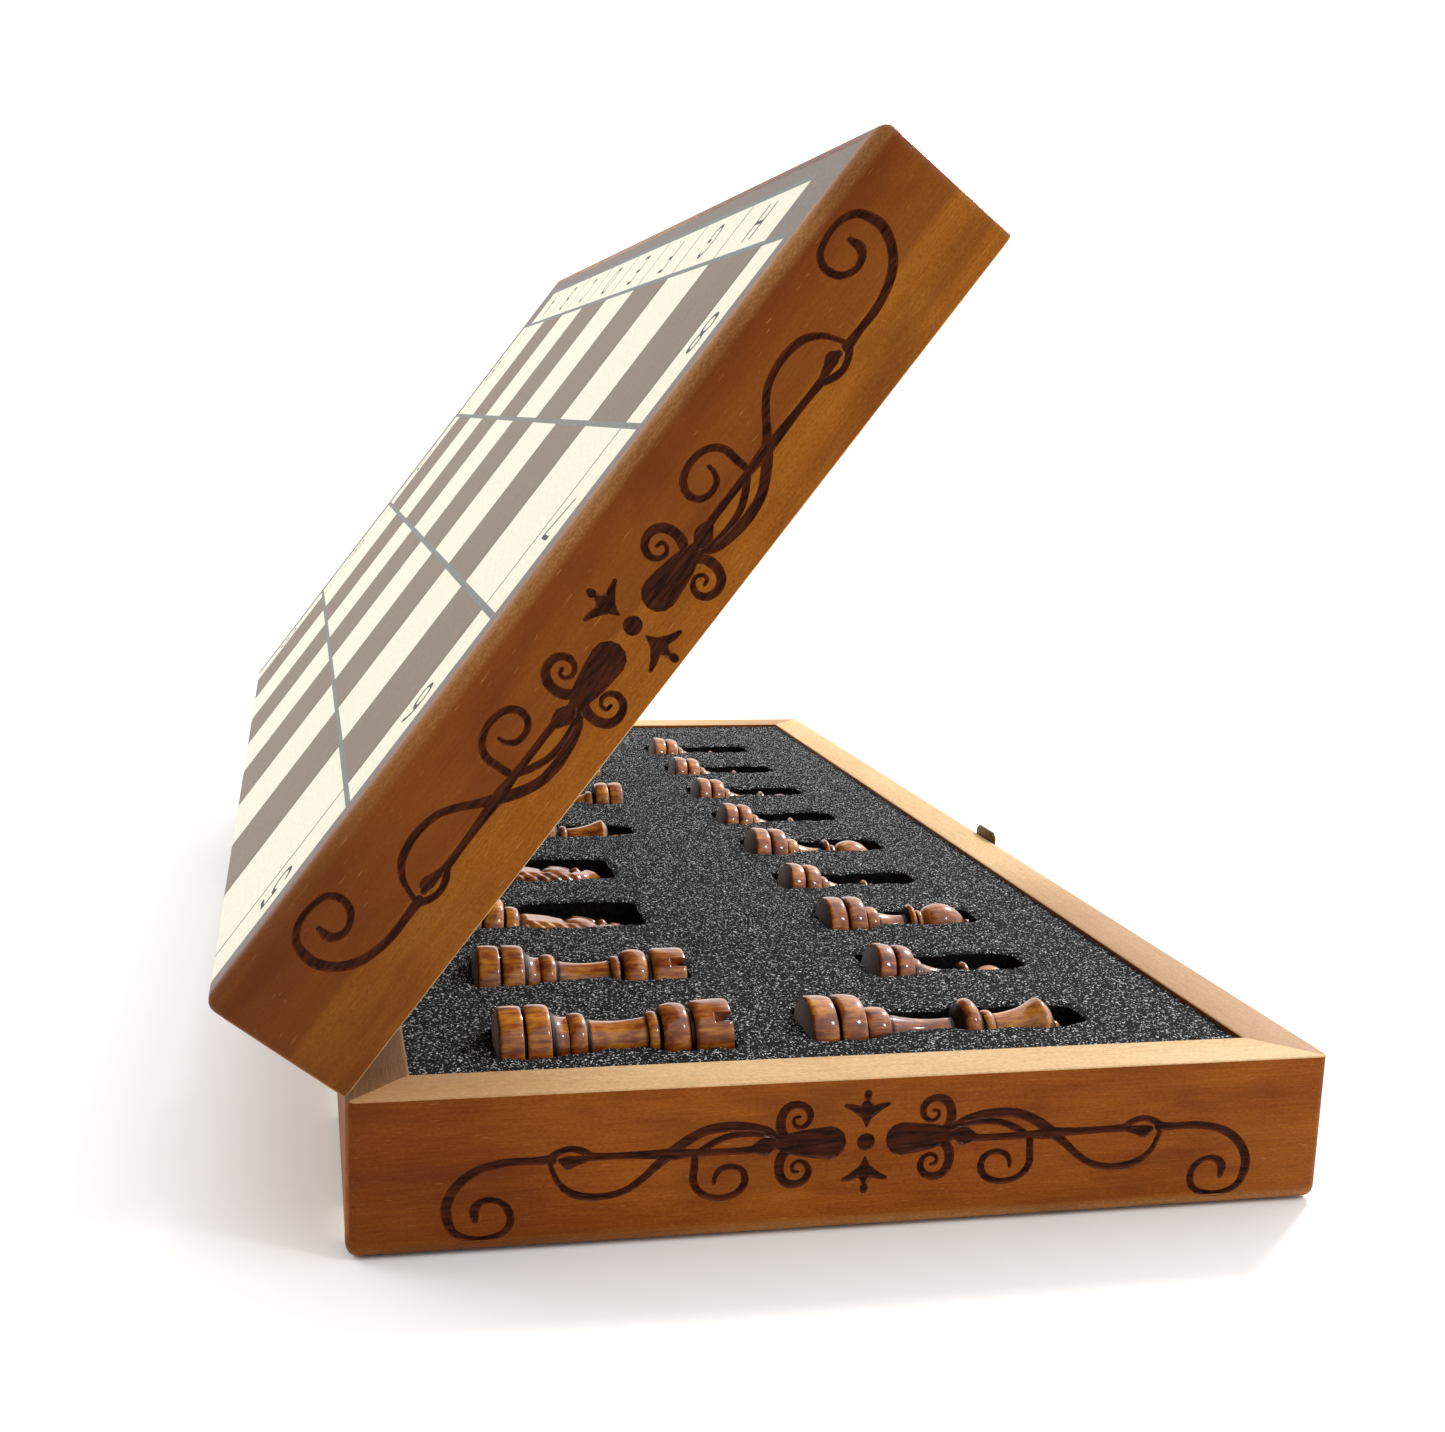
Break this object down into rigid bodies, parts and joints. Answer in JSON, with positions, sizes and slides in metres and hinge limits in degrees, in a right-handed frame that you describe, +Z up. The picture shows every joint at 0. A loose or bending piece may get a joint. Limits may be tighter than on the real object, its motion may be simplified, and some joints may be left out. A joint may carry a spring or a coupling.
{
  "type": "folding chess box",
  "caption": "Folding wooden chess box: playing board on the outer faces, hinged lid standing open, turned pieces lying in die-cut foam inside both halves.",
  "frame": {"origin": "centre of the base's outer face, which is half of the playing board and rests on the table", "axes": "+Z up; +Y along the hinge; +X from the hinge wall to the clasp wall"},
  "size_m": [0.2164, 0.38, 0.1989],
  "materials": {
    "stained_wood": "satin",
    "board_panel": "satin",
    "foam": "matte",
    "hinge_steel": "satin",
    "clasp_bronze": "satin",
    "dark_lacquer": "gloss",
    "light_lacquer": "gloss"
  },
  "bodies": {
    "base": {"base_near_rail": "stained_wood", "base_far_rail": "stained_wood", "base_hinge_rail": "stained_wood", "base_clasp_rail": "stained_wood", "base_panel": "board_panel", "base_foam": "foam", "near_hinge_base_leaf": "hinge_steel", "near_hinge_pin": "hinge_steel", "far_hinge_base_leaf": "hinge_steel", "far_hinge_pin": "hinge_steel", "base_hinge_screws": "hinge_steel", "clasp_catch": "clasp_bronze", "base_clasp_nails": "clasp_bronze"},
    "lid": {"lid_near_rail": "stained_wood", "lid_far_rail": "stained_wood", "lid_hinge_rail": "stained_wood", "lid_clasp_rail": "stained_wood", "lid_panel": "board_panel", "lid_foam": "foam", "near_hinge_lid_leaf": "hinge_steel", "far_hinge_lid_leaf": "hinge_steel", "lid_hinge_screws": "hinge_steel", "clasp_plate": "clasp_bronze", "clasp_rivet": "clasp_bronze", "lid_clasp_nails": "clasp_bronze"},
    "hook": {"clasp_hook": "clasp_bronze"},
    "dark_rook_1": {"dark_rook_1": "dark_lacquer"},
    "dark_rook_2": {"dark_rook_2": "dark_lacquer"},
    "dark_knight_1": {"dark_knight_1": "dark_lacquer"},
    "dark_knight_2": {"dark_knight_2": "dark_lacquer"},
    "dark_king": {"dark_king": "dark_lacquer"},
    "dark_pawn_1": {"dark_pawn_1": "dark_lacquer"},
    "dark_pawn_2": {"dark_pawn_2": "dark_lacquer"},
    "dark_queen": {"dark_queen": "dark_lacquer"},
    "dark_pawn_3": {"dark_pawn_3": "dark_lacquer"},
    "dark_bishop_1": {"dark_bishop_1": "dark_lacquer"},
    "dark_pawn_4": {"dark_pawn_4": "dark_lacquer"},
    "dark_bishop_2": {"dark_bishop_2": "dark_lacquer"},
    "dark_pawn_5": {"dark_pawn_5": "dark_lacquer"},
    "dark_pawn_6": {"dark_pawn_6": "dark_lacquer"},
    "dark_pawn_7": {"dark_pawn_7": "dark_lacquer"},
    "dark_pawn_8": {"dark_pawn_8": "dark_lacquer"},
    "light_rook_1": {"light_rook_1": "light_lacquer"},
    "light_rook_2": {"light_rook_2": "light_lacquer"},
    "light_knight_1": {"light_knight_1": "light_lacquer"},
    "light_knight_2": {"light_knight_2": "light_lacquer"},
    "light_king": {"light_king": "light_lacquer"},
    "light_pawn_1": {"light_pawn_1": "light_lacquer"},
    "light_pawn_2": {"light_pawn_2": "light_lacquer"},
    "light_queen": {"light_queen": "light_lacquer"},
    "light_pawn_3": {"light_pawn_3": "light_lacquer"},
    "light_bishop_1": {"light_bishop_1": "light_lacquer"},
    "light_pawn_4": {"light_pawn_4": "light_lacquer"},
    "light_bishop_2": {"light_bishop_2": "light_lacquer"},
    "light_pawn_5": {"light_pawn_5": "light_lacquer"},
    "light_pawn_6": {"light_pawn_6": "light_lacquer"},
    "light_pawn_7": {"light_pawn_7": "light_lacquer"},
    "light_pawn_8": {"light_pawn_8": "light_lacquer"}
  },
  "joints": [
    {"name": "lid_hinge", "type": "hinge", "parent": "base", "child": "lid", "pos_m": [-0.09515, 0, 0.03], "axis": [0, -1, 0], "range_deg": [-53, 127]},
    {"name": "clasp_swing", "type": "hinge", "parent": "lid", "child": "hook", "pos_m": [0.01398, -0.011, 0.18811], "axis": [0.6018, 0, 0.7986], "range_deg": [-90, 0]},
    {"name": "dark_rook_1_lift", "type": "slide", "parent": "base", "child": "dark_rook_1", "axis": [0, 0, 1], "range_m": [0, 0.018]},
    {"name": "dark_rook_2_lift", "type": "slide", "parent": "base", "child": "dark_rook_2", "axis": [0, 0, 1], "range_m": [0, 0.018]},
    {"name": "dark_knight_1_lift", "type": "slide", "parent": "base", "child": "dark_knight_1", "axis": [0, 0, 1], "range_m": [0, 0.018]},
    {"name": "dark_knight_2_lift", "type": "slide", "parent": "base", "child": "dark_knight_2", "axis": [0, 0, 1], "range_m": [0, 0.018]},
    {"name": "dark_king_lift", "type": "slide", "parent": "base", "child": "dark_king", "axis": [0, 0, 1], "range_m": [0, 0.018]},
    {"name": "dark_pawn_1_lift", "type": "slide", "parent": "base", "child": "dark_pawn_1", "axis": [0, 0, 1], "range_m": [0, 0.018]},
    {"name": "dark_pawn_2_lift", "type": "slide", "parent": "base", "child": "dark_pawn_2", "axis": [0, 0, 1], "range_m": [0, 0.018]},
    {"name": "dark_queen_lift", "type": "slide", "parent": "base", "child": "dark_queen", "axis": [0, 0, 1], "range_m": [0, 0.018]},
    {"name": "dark_pawn_3_lift", "type": "slide", "parent": "base", "child": "dark_pawn_3", "axis": [0, 0, 1], "range_m": [0, 0.018]},
    {"name": "dark_bishop_1_lift", "type": "slide", "parent": "base", "child": "dark_bishop_1", "axis": [0, 0, 1], "range_m": [0, 0.018]},
    {"name": "dark_pawn_4_lift", "type": "slide", "parent": "base", "child": "dark_pawn_4", "axis": [0, 0, 1], "range_m": [0, 0.018]},
    {"name": "dark_bishop_2_lift", "type": "slide", "parent": "base", "child": "dark_bishop_2", "axis": [0, 0, 1], "range_m": [0, 0.018]},
    {"name": "dark_pawn_5_lift", "type": "slide", "parent": "base", "child": "dark_pawn_5", "axis": [0, 0, 1], "range_m": [0, 0.018]},
    {"name": "dark_pawn_6_lift", "type": "slide", "parent": "base", "child": "dark_pawn_6", "axis": [0, 0, 1], "range_m": [0, 0.018]},
    {"name": "dark_pawn_7_lift", "type": "slide", "parent": "base", "child": "dark_pawn_7", "axis": [0, 0, 1], "range_m": [0, 0.018]},
    {"name": "dark_pawn_8_lift", "type": "slide", "parent": "base", "child": "dark_pawn_8", "axis": [0, 0, 1], "range_m": [0, 0.018]},
    {"name": "light_rook_1_lift", "type": "slide", "parent": "lid", "child": "light_rook_1", "axis": [0.7986, 0, -0.6018], "range_m": [0, 0.016]},
    {"name": "light_rook_2_lift", "type": "slide", "parent": "lid", "child": "light_rook_2", "axis": [0.7986, 0, -0.6018], "range_m": [0, 0.016]},
    {"name": "light_knight_1_lift", "type": "slide", "parent": "lid", "child": "light_knight_1", "axis": [0.7986, 0, -0.6018], "range_m": [0, 0.016]},
    {"name": "light_knight_2_lift", "type": "slide", "parent": "lid", "child": "light_knight_2", "axis": [0.7986, 0, -0.6018], "range_m": [0, 0.016]},
    {"name": "light_king_lift", "type": "slide", "parent": "lid", "child": "light_king", "axis": [0.7986, 0, -0.6018], "range_m": [0, 0.016]},
    {"name": "light_pawn_1_lift", "type": "slide", "parent": "lid", "child": "light_pawn_1", "axis": [0.7986, 0, -0.6018], "range_m": [0, 0.016]},
    {"name": "light_pawn_2_lift", "type": "slide", "parent": "lid", "child": "light_pawn_2", "axis": [0.7986, 0, -0.6018], "range_m": [0, 0.016]},
    {"name": "light_queen_lift", "type": "slide", "parent": "lid", "child": "light_queen", "axis": [0.7986, 0, -0.6018], "range_m": [0, 0.016]},
    {"name": "light_pawn_3_lift", "type": "slide", "parent": "lid", "child": "light_pawn_3", "axis": [0.7986, 0, -0.6018], "range_m": [0, 0.016]},
    {"name": "light_bishop_1_lift", "type": "slide", "parent": "lid", "child": "light_bishop_1", "axis": [0.7986, 0, -0.6018], "range_m": [0, 0.016]},
    {"name": "light_pawn_4_lift", "type": "slide", "parent": "lid", "child": "light_pawn_4", "axis": [0.7986, 0, -0.6018], "range_m": [0, 0.016]},
    {"name": "light_bishop_2_lift", "type": "slide", "parent": "lid", "child": "light_bishop_2", "axis": [0.7986, 0, -0.6018], "range_m": [0, 0.016]},
    {"name": "light_pawn_5_lift", "type": "slide", "parent": "lid", "child": "light_pawn_5", "axis": [0.7986, 0, -0.6018], "range_m": [0, 0.016]},
    {"name": "light_pawn_6_lift", "type": "slide", "parent": "lid", "child": "light_pawn_6", "axis": [0.7986, 0, -0.6018], "range_m": [0, 0.016]},
    {"name": "light_pawn_7_lift", "type": "slide", "parent": "lid", "child": "light_pawn_7", "axis": [0.7986, 0, -0.6018], "range_m": [0, 0.016]},
    {"name": "light_pawn_8_lift", "type": "slide", "parent": "lid", "child": "light_pawn_8", "axis": [0.7986, 0, -0.6018], "range_m": [0, 0.016]}
  ]
}
